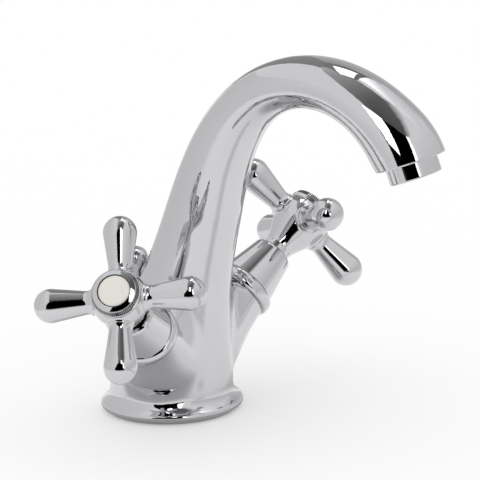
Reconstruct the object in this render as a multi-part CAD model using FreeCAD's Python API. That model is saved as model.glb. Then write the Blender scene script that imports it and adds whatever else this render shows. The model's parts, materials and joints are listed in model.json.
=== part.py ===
import FreeCAD, Part
import math
import os

# Basin mixer with two cross handles, a swan neck spout and a pull rod for the waste.
# Lengths are millimetres and angles are degrees. The origin is the centre of the base on the
# deck plane, +Z is up, the spout reaches toward -Y and the cold side handle is on +X.

# Fits and clearances
running_fit = 0.05
free_gap = 0.3
face_gap = 0.05
cut_over = 1.0

# Flared base
foot_radius = 24.4
lip_corner_radius = 28.2
lip_corner_height = 2.6
lip_rounding = 1.7
lip_slope_radius = 21.5
lip_slope_height = 7.0
lip_blend_radius = 5.5

# Spine of the trunk and spout, as runs of arc and straight in the plane X = 0
waist_height = 9.0
trunk_heading = 82.5
neck_heading = 72.5
trunk_arc_radius = 288.0
neck_run = 32.0
rise_heading = 55.0
rise_arc_radius = 95.0
drop_heading = -27.0
crown_arc_radius = 41.5
tip_heading = -62.0
drop_arc_radius = 50.0
outlet_heading = -70.0

# Oval sections along the spine: in-plane half thickness and sideways half width
foot_section_inset = 1.0
foot_section_back = 0.6
waist_section_radius = 23.2
waist_section_heading = 88.0
station_shares = [0.04, 0.09, 0.16, 0.25, 0.33, 0.40, 0.475, 0.55, 0.625, 0.70, 0.775, 0.85, 0.925]
half_thicknesses = [22.5, 20.9, 18.6, 15.75, 14.25, 13.2, 11.9, 10.75, 9.95, 9.63, 9.77, 10.5, 12.2]
half_widths = [22.6, 21.0, 18.8, 16.2, 15.2, 14.5, 13.9, 13.5, 13.4, 13.35, 13.3, 13.25, 13.2]
tip_radius = 13.2
tip_rounding = 0.6

# Handle axes: both leave one point on the body axis
axes_height = 13.8
handle_elevation = 35.15
handle_splay = 18.2
sides = {"left": -1, "right": 1}
arm_turns = {"left": 7.7, "right": -23.7}

# Horns that carry the valves
horn_end = 40.5
horn_radius = 11.5
horn_stations = [12.0, 18.0, 25.0, 31.0, 36.0]
horn_radii = [17.6, 16.5, 14.6, 13.0, 12.0]
horn_blend_radius = 12.0
blend_try_shares = [1.0, 1.12, 0.9, 1.25, 0.75, 0.5]

# Waterways, sockets and holes in the casting
bore_radius = 6.4
bore_start_share = 0.17
mixing_radius = 7.4
pocket_depth = 20.5
supply_radius = 3.0
mix_radius = 3.2
inlet_spacing = 19.0
inlet_radius = 4.46
inlet_depth = 11.0
stud_offset = 13.0
stud_hole_radius = 3.4
stud_hole_depth = 14.0

# Base gasket
gasket_inset = 1.4
gasket_width = 1.6
gasket_depth = 1.8
gasket_gap = 0.15

# Aerator in the spout end
aerator_thread_radius = 9.0
aerator_ring_radius = 9.8
aerator_socket_depth = 8.0
aerator_ring_height = 6.0
aerator_ring_rounding = 0.6
aerator_wall = 1.3
aerator_lip = 1.0
aerator_washer_height = 1.4
insert_grid_height = 2.2
insert_hole_radius = 0.7
insert_ring_counts = [1, 6, 12]
insert_ring_step = 2.3
insert_skirt_wall = 0.9

# Lift rod and its knob
rod_offset = 15.0
rod_radius = 2.5
rod_bottom = 1.0
rod_top = 55.0
rod_tap_radius = 1.25
rod_tap_depth = 8.0
bush_wall = 1.3
bush_height = 20.0
knob_radius = 5.4
knob_neck_radius = 3.3
knob_bottom = 47.0
knob_belly = 55.3
knob_waist_height = 49.8
knob_top = 60.6

# Ceramic cartridge, measured along a handle axis
barrel_radius = 8.4
barrel_bore_radius = 6.6
seal_height = 3.4
seal_inner_radius = 4.6
disc_radius = 6.2
fixed_disc_height = 2.8
moving_disc_height = 2.6
port_radius = 4.7
port_inner_radius = 1.6
port_angle = 80.0
driver_height = 1.6
driver_radius = 5.6
tang_width = 2.4
tang_length = 8.0
tang_depth = 1.2
window_height = 5.0
window_width = 7.0
chamber_height = 6.0
washer_height = 0.7
flange_radius = 10.2
flange_height = 1.3
hex_across = 14.0
hex_height = 4.7
neck_radius = 6.4
neck_height = 12.8

# Spindle
spindle_radius = 4.0
ring_groove_depth = 1.05
ring_groove_height = 1.7
ring_groove_drop = 18.0
clip_height = 0.8
clip_groove_depth = 0.7
clip_width = 1.6
clip_gap = 3.0
clip_lift = 0.1
spline_teeth = 20
spline_root_share = 0.9
spline_rise = 6.0
screw_tap_radius = 1.65
screw_tap_depth = 10.0

# Bonnet over the cartridge
bonnet_height = 22.9
bonnet_bead_radius = 12.6
bonnet_bead_height = 5.8
bonnet_bead_rounding = 2.3
bonnet_base_radius = 11.0
bonnet_shoulder_radius = 7.6
bonnet_rounding = 1.8
bonnet_wall = 1.5
bonnet_skirt_gap = 0.6
bonnet_land_height = 7.0

# Cross handle
arms_rise = 39.0
handle_skirt_drop = 17.0
skirt_radius = 5.6
skirt_run = 3.4
hub_radius = 10.3
hub_belly_drop = 1.7
hub_flare_radius = 7.3
hub_flare_drop = 9.0
hub_top_rise = 5.6
hub_top_radius = 9.2
arm_count = 4
arm_reach = 26.0
arm_ball_radius = 6.3
arm_neck_radius = 4.37
arm_neck_reach = 12.8
arm_root_radius = 5.0
arm_root_sweep = 3.4
arm_blend_radius = 1.6
hub_web = 1.6
cap_socket_depth = 3.6
screw_hole_radius = 2.15

# Screw under the cap
screw_radius = 1.6
screw_head_radius = 3.5
screw_head_height = 2.2
screw_length = 9.0
screw_drive_radius = 1.5
screw_drive_depth = 1.3
drive_sides = 6

# Cap ring and its porcelain disc
cap_skirt_radius = 6.2
cap_skirt_height = 2.9
cap_skirt_wall = 1.6
cap_edge_radius = 9.0
cap_edge_height = 1.4
cap_bezel_radius = 8.6
cap_height = 4.4
cap_rounding = 1.7
cap_floor = 1.2
index_radius = 6.25
index_height = 1.3
index_crown = 0.35

hex_sides = 6
half_turn = 180.0
full_turn = 360.0
middle_share = 0.5

# Derived sizes of the gasket
gasket_outer_radius = foot_radius - gasket_inset
gasket_inner_radius = gasket_outer_radius - gasket_width

# Derived places along a handle axis
pocket_radius = barrel_radius + running_fit
pocket_floor = horn_end - pocket_depth
barrel_bottom = pocket_floor + seal_height
fixed_disc_top = barrel_bottom + fixed_disc_height
moving_disc_bottom = fixed_disc_top + face_gap
moving_disc_top = moving_disc_bottom + moving_disc_height
driver_bottom = moving_disc_top + face_gap
driver_top = driver_bottom + driver_height
chamber_top = driver_bottom + chamber_height
mix_station = chamber_top - window_height * middle_share
flange_bottom = horn_end + washer_height
flange_top = flange_bottom + flange_height
hex_top = flange_top + hex_height
neck_top = hex_top + neck_height
bonnet_top = horn_end + bonnet_height
arms_at = horn_end + arms_rise
handle_bottom = arms_at - handle_skirt_drop
hub_top = arms_at + hub_top_rise
cap_socket_floor = hub_top - cap_socket_depth
cap_top = hub_top + cap_height
web_bottom = cap_socket_floor - hub_web
spindle_top = web_bottom - free_gap

up = FreeCAD.Vector(0, 0, 1)
origin = FreeCAD.Vector(0, 0, 0)


def turn_points(radius, count, start):
    """Points spaced evenly on a circle about the Z axis."""
    points = []
    for index in range(count):
        angle = math.radians(start + full_turn * index / count)
        points.append(FreeCAD.Vector(radius * math.cos(angle), radius * math.sin(angle), 0))
    return points


def prism(points, bottom, height):
    """Straight prism from a closed ring of points."""
    wire = Part.makePolygon(points + [points[0]])
    solid = Part.Face(wire).extrude(FreeCAD.Vector(0, 0, height))
    solid.translate(FreeCAD.Vector(0, 0, bottom))
    return solid


def cylinder(radius, bottom, top):
    """Cylinder on the Z axis between two heights."""
    return Part.makeCylinder(radius, top - bottom, FreeCAD.Vector(0, 0, bottom), up)


def tube(outer, inner, bottom, top):
    """Plain ring on the Z axis between two heights."""
    return cylinder(outer, bottom, top).cut(cylinder(inner, bottom - cut_over, top + cut_over))


def outline(corners):
    """Closed wire in the XZ plane; each corner is radius, height and rounding."""
    starts = []
    ends = []
    arcs = []
    count = len(corners)
    for index in range(count):
        here = FreeCAD.Vector(corners[index][0], 0, corners[index][1])
        before = FreeCAD.Vector(corners[index - 1][0], 0, corners[index - 1][1])
        following = corners[(index + 1) % count]
        after = FreeCAD.Vector(following[0], 0, following[1])
        rounding = corners[index][2]
        if rounding == 0:
            starts.append(here)
            ends.append(here)
            arcs.append(None)
            continue
        back = (before - here).normalize()
        ahead = (after - here).normalize()
        half_angle = back.getAngle(ahead) * middle_share
        run = rounding / math.tan(half_angle)
        depth = rounding / math.sin(half_angle) - rounding
        first = here + back * run
        last = here + ahead * run
        middle = here + (back + ahead).normalize() * depth
        starts.append(first)
        ends.append(last)
        arcs.append(Part.Arc(first, middle, last).toShape())
    edges = []
    for index in range(count):
        if arcs[index] is not None:
            edges.append(arcs[index])
        following = starts[(index + 1) % count]
        if not ends[index].isEqual(following, Part.Precision.confusion()):
            edges.append(Part.makeLine(ends[index], following))
    return Part.Wire(edges)


def spun(corners):
    """Solid of revolution about the Z axis from a cornered profile."""
    return Part.Face(outline(corners)).revolve(origin, up, full_turn)


def blended(shape, edges, radius):
    """Fillet that steps to a near radius if the first one cannot be built."""
    for share in blend_try_shares:
        try:
            result = shape.makeFillet(radius * share, edges)
        except Part.OCCError:
            continue
        if result.isValid() and len(result.Solids) == 1:
            return result
    return shape


def join_edges(shape, first, second):
    """Edges of a fused shape where the skins of its two parents cross."""
    found = []
    for edge in shape.Edges:
        span = edge.LastParameter - edge.FirstParameter
        spot = Part.Vertex(edge.valueAt(edge.FirstParameter + span * middle_share))
        on_first = min(face.distToShape(spot)[0] for face in first.Faces) < face_gap
        on_second = min(face.distToShape(spot)[0] for face in second.Faces) < face_gap
        if on_first and on_second:
            found.append(edge)
    return found


def axis_place(side):
    """Placement whose Z runs out along a handle axis and whose X points up the slope."""
    elevation = math.radians(handle_elevation)
    splay = math.radians(handle_splay)
    level = math.cos(elevation)
    out = FreeCAD.Vector(side * level * math.cos(splay), -level * math.sin(splay), math.sin(elevation))
    across = out.cross(up).normalize()
    rise = across.cross(out)
    matrix = FreeCAD.Matrix(rise.x, across.x, out.x, 0,
                            rise.y, across.y, out.y, 0,
                            rise.z, across.z, out.z, axes_height,
                            0, 0, 0, 1)
    return FreeCAD.Placement(matrix)


def on_axis(shape, name):
    """Copy of a shape moved from its own Z axis to the named handle axis."""
    moved = shape.copy()
    moved.Placement = axis_place(sides[name]).multiply(moved.Placement)
    return moved


def spine_runs():
    """Runs of the spine: heading in, heading out, and arc radius or straight length."""
    return [
        (trunk_heading, neck_heading, trunk_arc_radius),
        (neck_heading, neck_heading, neck_run),
        (neck_heading, rise_heading, rise_arc_radius),
        (rise_heading, drop_heading, crown_arc_radius),
        (drop_heading, tip_heading, drop_arc_radius),
    ]


def run_length(run):
    """Length of one run of the spine."""
    if run[0] == run[1]:
        return run[2]
    return run[2] * math.radians(run[0] - run[1])


def spine_at(share):
    """Forward distance, height and heading at a share of the spine."""
    left = share * sum(run_length(run) for run in spine_runs())
    forward = 0.0
    height = waist_height
    heading = math.radians(trunk_heading)
    for run in spine_runs():
        step = min(left, run_length(run))
        start = math.radians(run[0])
        if run[0] == run[1]:
            heading = start
            forward += step * math.cos(start)
            height += step * math.sin(start)
        else:
            heading = start - step / run[2]
            forward += run[2] * (math.sin(start) - math.sin(heading))
            height += run[2] * (math.cos(heading) - math.cos(start))
        left -= step
        if left <= 0:
            break
    return forward, height, math.degrees(heading)


def section(forward, height, heading, thickness, width):
    """Oval wire square to a heading in the plane X = 0, always starting at the back."""
    angle = math.radians(heading)
    along = FreeCAD.Vector(0, -math.cos(angle), math.sin(angle))
    outward = FreeCAD.Vector(0, math.sin(angle), math.cos(angle))
    across = along.cross(outward)
    matrix = FreeCAD.Matrix(outward.x * thickness, across.x * width, along.x, 0,
                            outward.y * thickness, across.y * width, along.y, -forward,
                            outward.z * thickness, across.z * width, along.z, height,
                            0, 0, 0, 1)
    return Part.Wire([Part.Circle().toShape().transformGeometry(matrix)])


def outlet_place():
    """Placement at the centre of the spout end, with Z running out of it."""
    forward, height, heading = spine_at(1)
    angle = math.radians(outlet_heading)
    out = FreeCAD.Vector(0, -math.cos(angle), math.sin(angle))
    turn = FreeCAD.Rotation(up, out)
    return FreeCAD.Placement(FreeCAD.Vector(0, -forward, height), turn)


def at_outlet(shape):
    """Copy of a shape moved from its own Z axis to the spout outlet."""
    moved = shape.copy()
    moved.Placement = outlet_place().multiply(moved.Placement)
    return moved


def trunk_and_spout():
    """Leaning trunk and swan neck in one loft of ovals."""
    foot = foot_radius - foot_section_inset
    waist = waist_section_radius
    wires = [section(-foot_section_back, 0, half_turn * middle_share, foot, foot)]
    wires.append(section(0, waist_height, waist_section_heading, waist, waist))
    for share, thickness, width in zip(station_shares, half_thicknesses, half_widths):
        forward, height, heading = spine_at(share)
        wires.append(section(forward, height, heading, thickness, width))
    forward, height, heading = spine_at(1)
    wires.append(section(forward, height, outlet_heading, tip_radius, tip_radius))
    loft = Part.makeLoft(wires, True, False)
    tip = FreeCAD.Vector(0, -forward, height)
    rims = [edge for edge in loft.Edges if edge.CenterOfMass.distanceToPoint(tip) < face_gap]
    return blended(loft, rims, tip_rounding)


def horn(name):
    """Flared stub that carries one valve."""
    places = [FreeCAD.Vector(radius, 0, station) for radius, station in zip(horn_radii, horn_stations)]
    places.append(FreeCAD.Vector(horn_radius, 0, horn_end))
    flare = Part.BSplineCurve()
    flare.interpolate(places)
    inner = FreeCAD.Vector(0, 0, horn_stations[0])
    outer = FreeCAD.Vector(0, 0, horn_end)
    edges = [flare.toShape(), Part.makeLine(places[-1], outer), Part.makeLine(outer, inner)]
    edges.append(Part.makeLine(inner, places[0]))
    return on_axis(Part.Face(Part.Wire(edges)).revolve(origin, up, full_turn), name)


def flared_base():
    """Foot with a rounded lip that slopes up into the trunk."""
    return spun([
        (0, 0, 0),
        (foot_radius, 0, 0),
        (lip_corner_radius, lip_corner_height, lip_rounding),
        (lip_slope_radius, lip_slope_height, 0),
        (0, lip_slope_height, 0),
    ])


def spout_bore():
    """Round waterway that follows the spine from the trunk to the outlet."""
    shares = [bore_start_share] + [share for share in station_shares if share > bore_start_share]
    wires = []
    for share in shares:
        forward, height, heading = spine_at(share)
        wires.append(section(forward, height, heading, bore_radius, bore_radius))
    mouth = outlet_place().multVec(FreeCAD.Vector(0, 0, -aerator_socket_depth * middle_share))
    wires.append(section(-mouth.y, mouth.z, outlet_heading, bore_radius, bore_radius))
    return Part.makeLoft(wires, True, False)


def drill(start, end, radius):
    """Straight drilling between two points."""
    way = end - start
    return Part.makeCylinder(radius, way.Length, start, way)


def side_waterways(name):
    """Valve pocket with its supply drilling, inlet hole and drilling to the mixed water bore."""
    place = axis_place(sides[name])
    pocket = on_axis(cylinder(pocket_radius, pocket_floor, horn_end + cut_over), name)
    inlet = cylinder(inlet_radius, -cut_over, inlet_depth)
    inlet.translate(FreeCAD.Vector(sides[name] * inlet_spacing * middle_share, 0, 0))
    floor = place.multVec(FreeCAD.Vector(0, 0, pocket_floor + cut_over))
    inlet_top = FreeCAD.Vector(sides[name] * inlet_spacing * middle_share, 0, inlet_depth - supply_radius)
    forward, height, heading = spine_at(bore_start_share)
    meeting = FreeCAD.Vector(0, -forward, height)
    gallery = place.multVec(FreeCAD.Vector(0, 0, mix_station))
    return [pocket, inlet, drill(inlet_top, floor, supply_radius), drill(gallery, meeting, mix_radius)]


def body_casting():
    """Base, trunk, horns and spout as one casting with its waterways cut."""
    trunk = trunk_and_spout()
    horns = [horn(name) for name in sides]
    body = trunk.fuse(horns)
    edges = []
    for stub in horns:
        edges += join_edges(body, trunk, stub)
    body = blended(body, edges, horn_blend_radius)
    base = flared_base()
    smooth = body
    body = smooth.fuse(base).removeSplitter()
    edges = [edge for edge in join_edges(body, smooth, base) if edge.BoundBox.ZMin > lip_corner_height]
    body = blended(body, edges, lip_blend_radius)
    forward, height, heading = spine_at(bore_start_share)
    chamber = Part.makeSphere(mixing_radius, FreeCAD.Vector(0, -forward, height))
    cuts = [spout_bore(), chamber]
    cuts.append(at_outlet(cylinder(aerator_thread_radius + running_fit, -aerator_socket_depth, cut_over)))
    for name in sides:
        cuts += side_waterways(name)
    stud = cylinder(stud_hole_radius, -cut_over, stud_hole_depth)
    stud.translate(FreeCAD.Vector(0, -stud_offset, 0))
    rod_way = cylinder(rod_radius + free_gap, -cut_over, rod_top)
    bush_seat = cylinder(rod_radius + running_fit + bush_wall + face_gap, -cut_over, bush_height)
    for hole in (rod_way, bush_seat):
        hole.translate(FreeCAD.Vector(0, rod_offset, 0))
    cuts += [stud, rod_way, bush_seat]
    groove_outer = gasket_outer_radius + gasket_gap
    cuts.append(tube(groove_outer, gasket_inner_radius - gasket_gap, -cut_over, gasket_depth))
    for cut in cuts:
        body = body.cut(cut)
    return body


def base_gasket():
    """Flat seal in the underside of the base."""
    return tube(gasket_outer_radius, gasket_inner_radius, 0, gasket_depth)


def aerator_housing():
    """Threaded shell of the aerator with the ring that shows below the spout."""
    inner = aerator_thread_radius - aerator_wall
    top = -aerator_socket_depth + aerator_washer_height
    mouth = inner - aerator_lip
    shell = spun([
        (inner, top, 0),
        (aerator_thread_radius, top, 0),
        (aerator_thread_radius, face_gap, 0),
        (aerator_ring_radius, face_gap, 0),
        (aerator_ring_radius, aerator_ring_height, aerator_ring_rounding),
        (mouth, aerator_ring_height, 0),
        (mouth, aerator_ring_height - aerator_lip, 0),
        (inner, aerator_ring_height - aerator_lip, 0),
    ])
    return at_outlet(shell)


def aerator_insert():
    """Flow straightener: a flanged cup with a pierced grid at its lower end."""
    inner = aerator_thread_radius - aerator_wall - running_fit
    top = -aerator_socket_depth + aerator_washer_height
    bottom = aerator_ring_height - aerator_lip
    hollow = cylinder(inner - insert_skirt_wall, top - cut_over, bottom - insert_grid_height)
    cup = cylinder(inner, top, bottom).cut(hollow)
    grid_top = bottom - insert_grid_height - cut_over
    holes = []
    for ring, count in enumerate(insert_ring_counts):
        for point in turn_points(insert_ring_step * ring, count, 0):
            hole = cylinder(insert_hole_radius, grid_top, bottom + cut_over)
            hole.translate(point)
            holes.append(hole)
    return at_outlet(cup.cut(Part.makeCompound(holes)))


def aerator_washer():
    """Rubber seal between the aerator and the spout."""
    top = -aerator_socket_depth
    outer = aerator_thread_radius - running_fit
    return at_outlet(tube(outer, bore_radius, top, top + aerator_washer_height))


def lift_rod():
    """Pull rod with a tapped lower end."""
    rod = cylinder(rod_radius, rod_bottom, rod_top)
    rod = rod.cut(cylinder(rod_tap_radius, rod_bottom - cut_over, rod_bottom + rod_tap_depth))
    rod.translate(FreeCAD.Vector(0, rod_offset, 0))
    return rod


def lift_knob():
    """Pear-shaped pull knob on the rod."""
    places = [
        FreeCAD.Vector(knob_neck_radius, 0, knob_bottom),
        FreeCAD.Vector(knob_neck_radius, 0, knob_waist_height),
        FreeCAD.Vector(knob_radius, 0, knob_belly),
        FreeCAD.Vector(0, 0, knob_top),
    ]
    side = Part.BSplineCurve()
    tangents = [up, up, up, FreeCAD.Vector(-1, 0, 0)]
    side.interpolate(Points=places, Tangents=tangents, TangentFlags=[True, True, True, True])
    low = FreeCAD.Vector(0, 0, knob_bottom)
    edges = [side.toShape(), Part.makeLine(places[-1], low), Part.makeLine(low, places[0])]
    knob = Part.Face(Part.Wire(edges)).revolve(origin, up, full_turn)
    knob = knob.cut(cylinder(rod_radius + running_fit, knob_bottom - cut_over, rod_top))
    knob.translate(FreeCAD.Vector(0, rod_offset, 0))
    return knob


def lift_rod_bush():
    """Plastic guide pressed into the base around the rod."""
    inner = rod_radius + running_fit
    bush = tube(inner + bush_wall, inner, 0, bush_height)
    bush.translate(FreeCAD.Vector(0, rod_offset, 0))
    return bush


def bonnet(name):
    """Tapered cover with a bead ring, screwed on the cartridge neck."""
    bead_top = horn_end + bonnet_bead_height
    land_bottom = bonnet_top - bonnet_land_height
    skirt = flange_radius + bonnet_skirt_gap
    cone_bottom = flange_top + free_gap
    land = neck_radius + running_fit
    shell = spun([
        (skirt, horn_end, 0),
        (bonnet_bead_radius, horn_end, bonnet_bead_rounding),
        (bonnet_bead_radius, bead_top, bonnet_bead_rounding),
        (bonnet_base_radius, bead_top, 0),
        (bonnet_shoulder_radius, bonnet_top, bonnet_rounding),
        (land, bonnet_top, 0),
        (land, land_bottom, 0),
        (bonnet_base_radius - bonnet_wall, cone_bottom, 0),
        (skirt, cone_bottom, 0),
    ])
    return on_axis(shell, name)


def cartridge_body(name):
    """Brass headwork with barrel, water windows, flange, hexagon and neck."""
    barrel = cylinder(barrel_radius, barrel_bottom, flange_bottom)
    flange = cylinder(flange_radius, flange_bottom, flange_top)
    corner = hex_across * middle_share / math.cos(math.pi / hex_sides)
    nut = prism(turn_points(corner, hex_sides, 0), flange_top, hex_height)
    neck = cylinder(neck_radius, hex_top, neck_top)
    body = barrel.fuse([flange, nut, neck])
    body = body.cut(cylinder(barrel_bore_radius, barrel_bottom - cut_over, chamber_top))
    body = body.cut(cylinder(spindle_radius + running_fit, chamber_top - cut_over, neck_top + cut_over))
    reach = barrel_radius + cut_over
    window = Part.makeBox(window_width, reach + reach, window_height)
    window.translate(FreeCAD.Vector(-window_width * middle_share, -reach, chamber_top - window_height))
    return on_axis(body.cut(window), name)


def cartridge_washer(name):
    """Flat seal under the headwork flange."""
    return on_axis(tube(flange_radius, pocket_radius, horn_end, flange_bottom), name)


def cartridge_seal(name):
    """Rubber ring between the fixed disc and the pocket floor."""
    return on_axis(tube(barrel_radius - free_gap, seal_inner_radius, pocket_floor, barrel_bottom), name)


def disc_ports(bottom, top):
    """Two facing sector ports through a valve disc."""
    ports = []
    for start in (-port_angle * middle_share, half_turn - port_angle * middle_share):
        foot = FreeCAD.Vector(0, 0, bottom)
        sector = Part.makeCylinder(port_radius, top - bottom, foot, up, port_angle)
        sector = sector.cut(cylinder(port_inner_radius, bottom - cut_over, top + cut_over))
        sector.rotate(origin, up, start)
        ports.append(sector)
    return Part.makeCompound(ports)


def disc_fixed(name):
    """Lower ceramic disc with its ports across the slope."""
    disc = cylinder(disc_radius, barrel_bottom, fixed_disc_top)
    return on_axis(disc.cut(disc_ports(barrel_bottom - cut_over, fixed_disc_top + cut_over)), name)


def tang(depth_gap, width_gap):
    """Bar that carries the turn of the spindle into the moving disc."""
    length = tang_length + width_gap
    width = tang_width + width_gap
    bar = Part.makeBox(length, width, tang_depth + depth_gap + face_gap)
    low = driver_bottom - tang_depth - depth_gap
    bar.translate(FreeCAD.Vector(-length * middle_share, -width * middle_share, low))
    return bar


def disc_moving(name):
    """Upper ceramic disc, ports a quarter turn from the fixed ones when shut."""
    disc = cylinder(disc_radius - free_gap, moving_disc_bottom, moving_disc_top)
    ports = disc_ports(moving_disc_bottom - cut_over, moving_disc_top + cut_over)
    ports.rotate(origin, up, half_turn * middle_share)
    disc = disc.cut(ports)
    return on_axis(disc.cut(tang(face_gap, running_fit)), name)


def ring_groove_bottom():
    """Lower edge of the sealing groove on the spindle."""
    return neck_top - ring_groove_drop


def spindle(name):
    """Turned spindle with driver, sealing groove, clip groove, splines and tapped end."""
    driver = cylinder(driver_radius, driver_bottom, driver_top)
    shaft = cylinder(spindle_radius, driver_bottom, neck_top + spline_rise)
    outer = turn_points(spindle_radius, spline_teeth, 0)
    root = turn_points(spindle_radius * spline_root_share, spline_teeth, half_turn / spline_teeth)
    star = []
    for tip, valley in zip(outer, root):
        star += [tip, valley]
    splines = prism(star, neck_top, spindle_top - neck_top)
    solid = shaft.fuse([driver, splines, tang(0, 0)])
    low = ring_groove_bottom()
    ring_root = spindle_radius - ring_groove_depth
    solid = solid.cut(tube(spindle_radius + cut_over, ring_root, low, low + ring_groove_height))
    clip_low = neck_top + clip_lift
    clip_root = spindle_radius - clip_groove_depth
    solid = solid.cut(tube(spindle_radius + cut_over, clip_root, clip_low, clip_low + clip_height))
    tap = cylinder(screw_tap_radius, spindle_top - screw_tap_depth, spindle_top + cut_over)
    return on_axis(solid.cut(tap), name)


def spindle_oring(name):
    """Rubber ring in the groove of the spindle."""
    thick = (ring_groove_depth + running_fit - face_gap) * middle_share
    low = ring_groove_bottom()
    ring = Part.makeTorus(spindle_radius + running_fit - face_gap - thick, thick)
    ring.translate(FreeCAD.Vector(0, 0, low + ring_groove_height * middle_share))
    return on_axis(ring, name)


def spindle_clip(name):
    """Spring clip that keeps the spindle in the headwork."""
    inner = spindle_radius - clip_groove_depth
    low = neck_top + clip_lift
    ring = tube(inner + clip_width, inner, low, low + clip_height)
    slot = Part.makeBox(spindle_radius + clip_width, clip_gap, clip_height + cut_over + cut_over)
    slot.translate(FreeCAD.Vector(0, -clip_gap * middle_share, low - cut_over))
    return on_axis(ring.cut(slot), name)


def handle_arm():
    """One clubbed arm along X: a ball, a tangent cone down to a neck, and a root that sweeps out."""
    gap = arm_reach - arm_neck_reach
    span = math.hypot(gap, arm_neck_radius)
    slope = math.asin(arm_ball_radius / span) - math.atan2(arm_neck_radius, gap)
    neck = FreeCAD.Vector(arm_neck_reach, 0, arm_neck_radius)
    ball = FreeCAD.Vector(arm_reach, 0, 0)
    outward = FreeCAD.Vector(-math.sin(slope), 0, math.cos(slope))
    touch = ball + outward * arm_ball_radius
    tip = ball + FreeCAD.Vector(arm_ball_radius, 0, 0)
    swing = (math.pi * middle_share + slope) * middle_share
    middle = ball + FreeCAD.Vector(math.cos(swing), 0, math.sin(swing)) * arm_ball_radius
    centre = neck + outward * arm_root_sweep
    turn = math.acos((centre.z - arm_root_radius) / arm_root_sweep)
    root = centre - FreeCAD.Vector(math.sin(turn), 0, math.cos(turn)) * arm_root_sweep
    half = (turn - slope) * middle_share
    bend = centre - FreeCAD.Vector(math.sin(half), 0, math.cos(half)) * arm_root_sweep
    foot = FreeCAD.Vector(0, 0, arm_root_radius)
    edges = [Part.makeLine(origin, foot), Part.makeLine(foot, root)]
    edges += [Part.Arc(root, bend, neck).toShape(), Part.makeLine(neck, touch)]
    edges += [Part.Arc(touch, middle, tip).toShape(), Part.makeLine(tip, origin)]
    return Part.Face(Part.Wire(edges)).revolve(origin, FreeCAD.Vector(1, 0, 0), full_turn)


def handle_hub():
    """Bell-shaped hub that flares from a slim skirt to the arms."""
    places = [
        FreeCAD.Vector(skirt_radius, 0, handle_bottom + skirt_run),
        FreeCAD.Vector(hub_flare_radius, 0, arms_at - hub_flare_drop),
        FreeCAD.Vector(hub_radius, 0, arms_at - hub_belly_drop),
        FreeCAD.Vector(hub_top_radius, 0, hub_top),
    ]
    side = Part.BSplineCurve()
    side.interpolate(places)
    foot = FreeCAD.Vector(skirt_radius, 0, handle_bottom)
    low = FreeCAD.Vector(0, 0, handle_bottom)
    high = FreeCAD.Vector(0, 0, hub_top)
    edges = [Part.makeLine(foot, places[0]), side.toShape(), Part.makeLine(places[-1], high)]
    edges += [Part.makeLine(high, low), Part.makeLine(low, foot)]
    return Part.Face(Part.Wire(edges)).revolve(origin, up, full_turn)


def cross_handle(name):
    """Four-armed handle with sockets for the spindle, the screw and the cap."""
    hub = handle_hub()
    arms = []
    for index in range(arm_count):
        arm = handle_arm()
        arm.translate(FreeCAD.Vector(0, 0, arms_at))
        arm.rotate(origin, up, full_turn * index / arm_count)
        arms.append(arm)
    solid = hub.fuse(arms)
    edges = []
    for arm in arms:
        edges += join_edges(solid, hub, arm)
    solid = blended(solid, edges, arm_blend_radius)
    solid = solid.cut(cylinder(spindle_radius + running_fit, handle_bottom - cut_over, web_bottom))
    solid = solid.cut(cylinder(screw_hole_radius, web_bottom - cut_over, hub_top))
    solid = solid.cut(cylinder(cap_skirt_radius + running_fit, cap_socket_floor, hub_top + cut_over))
    solid.rotate(origin, up, arm_turns[name])
    return on_axis(solid, name)


def handle_screw(name):
    """Screw that draws the handle onto the spindle."""
    shank = cylinder(screw_radius, cap_socket_floor - screw_length, cap_socket_floor + face_gap)
    head = cylinder(screw_head_radius, cap_socket_floor, cap_socket_floor + screw_head_height)
    drive_bottom = cap_socket_floor + screw_head_height - screw_drive_depth
    corners = turn_points(screw_drive_radius, drive_sides, 0)
    drive = prism(corners, drive_bottom, screw_drive_depth + cut_over)
    return on_axis(shank.fuse(head).cut(drive), name)


def cap_ring(name):
    """Screw-in cap with a milled edge and a rounded bezel around the disc seat."""
    seat = cap_top - index_height
    floor_low = seat - cap_floor
    edge_top = hub_top + cap_edge_height
    skirt_bottom = hub_top - cap_skirt_height
    hollow = cap_skirt_radius - cap_skirt_wall
    disc_way = index_radius + face_gap
    shell = spun([
        (hollow, skirt_bottom, 0),
        (cap_skirt_radius, skirt_bottom, 0),
        (cap_skirt_radius, hub_top + face_gap, 0),
        (cap_edge_radius, hub_top + face_gap, 0),
        (cap_edge_radius, edge_top, 0),
        (cap_bezel_radius, edge_top, 0),
        (cap_bezel_radius, cap_top, cap_rounding),
        (disc_way, cap_top, 0),
        (disc_way, seat, 0),
        (0, seat, 0),
        (0, floor_low, 0),
        (hollow, floor_low, 0),
    ])
    return on_axis(shell, name)


def index_disc(name):
    """Slightly domed porcelain disc in the cap."""
    seat = cap_top - index_height
    rim = cap_top - index_crown
    edge = FreeCAD.Vector(index_radius, 0, rim)
    crown = FreeCAD.Vector(0, 0, cap_top)
    ball = (index_radius * index_radius + index_crown * index_crown) / (index_crown + index_crown)
    half_swing = math.asin(index_radius / ball) * middle_share
    middle_height = cap_top - ball * (1 - math.cos(half_swing))
    middle = FreeCAD.Vector(ball * math.sin(half_swing), 0, middle_height)
    low = FreeCAD.Vector(0, 0, seat)
    corner = FreeCAD.Vector(index_radius, 0, seat)
    edges = [Part.makeLine(low, corner), Part.makeLine(corner, edge)]
    edges += [Part.Arc(edge, middle, crown).toShape(), Part.makeLine(crown, low)]
    return on_axis(Part.Face(Part.Wire(edges)).revolve(origin, up, full_turn), name)


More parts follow.
